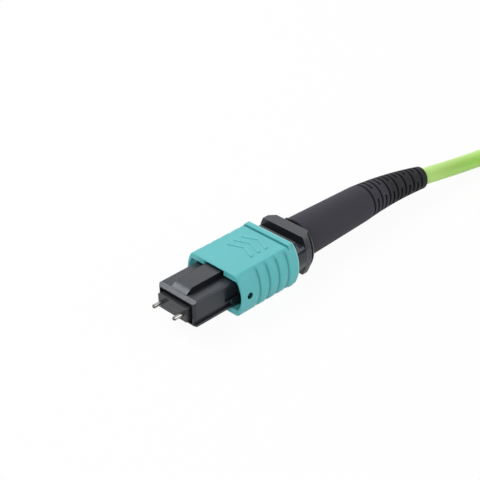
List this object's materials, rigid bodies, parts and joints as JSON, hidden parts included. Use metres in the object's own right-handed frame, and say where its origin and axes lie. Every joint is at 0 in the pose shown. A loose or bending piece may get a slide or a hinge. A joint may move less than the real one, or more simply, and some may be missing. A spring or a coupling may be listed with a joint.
{
  "type": "mpo fibre connector",
  "caption": "Multi-fibre push-on connector with guide pins, a sliding coupling sleeve, a slotted strain-relief boot and a round cable wound into a long tied coil.",
  "frame": {"origin": "optical datum: the centre of the ferrule's end face, midway between the guide pins", "axes": "+X from the mating end along the plug towards the cable, +Z the side with the key, +Y to the left seen from the mating end"},
  "size_m": [0.1204, 0.0425, 0.0129],
  "materials": {
    "fibre_glass": "coated glass fibre ribbon, satin",
    "ferrule_polymer": "glass-filled polymer, polished end",
    "epoxy": "cured adhesive, glossy",
    "grommet_rubber": "matte",
    "pin_steel": "ground and polished",
    "keeper_steel": "stamped, satin",
    "spring_steel": "drawn wire",
    "plug_black": "moulded, satin",
    "sleeve_aqua": "moulded, satin",
    "boot_black": "soft moulded, satin",
    "crimp_metal": "nickel-plated, satin",
    "aramid": "loose yarn",
    "jacket_lime": "extruded jacket, satin",
    "tie_black": "woven strap"
  },
  "bodies": {
    "plug": {"plug_housing": "plug_black", "back_shell": "plug_black", "crimp_ring": "crimp_metal", "aramid_yarn": "aramid", "boot": "boot_black", "cable": "jacket_lime", "cable_coil": "jacket_lime", "coil_tie_near": "tie_black", "coil_tie_far": "tie_black", "ferrule_spring": "spring_steel", "coupling_spring_left": "spring_steel", "coupling_spring_right": "spring_steel"},
    "sleeve": {"coupling_sleeve": "sleeve_aqua"},
    "ferrule_set": {"ferrule": "ferrule_polymer", "ferrule_adhesive": "epoxy", "ribbon_grommet": "grommet_rubber", "guide_pin_left": "pin_steel", "guide_pin_right": "pin_steel", "pin_keeper": "keeper_steel", "fibre_ribbon": "fibre_glass"}
  },
  "joints": [
    {"name": "sleeve_slide", "type": "slide", "parent": "plug", "child": "sleeve", "axis": [1, 0, 0], "range_m": [0, 0.002], "stiffness_N_per_m": 400, "deforming": ["coupling_spring_left", "coupling_spring_right"]},
    {"name": "ferrule_float", "type": "slide", "parent": "plug", "child": "ferrule_set", "axis": [1, 0, 0], "range_m": [0, 0.001], "stiffness_N_per_m": 2000, "deforming": ["ferrule_spring"]}
  ]
}
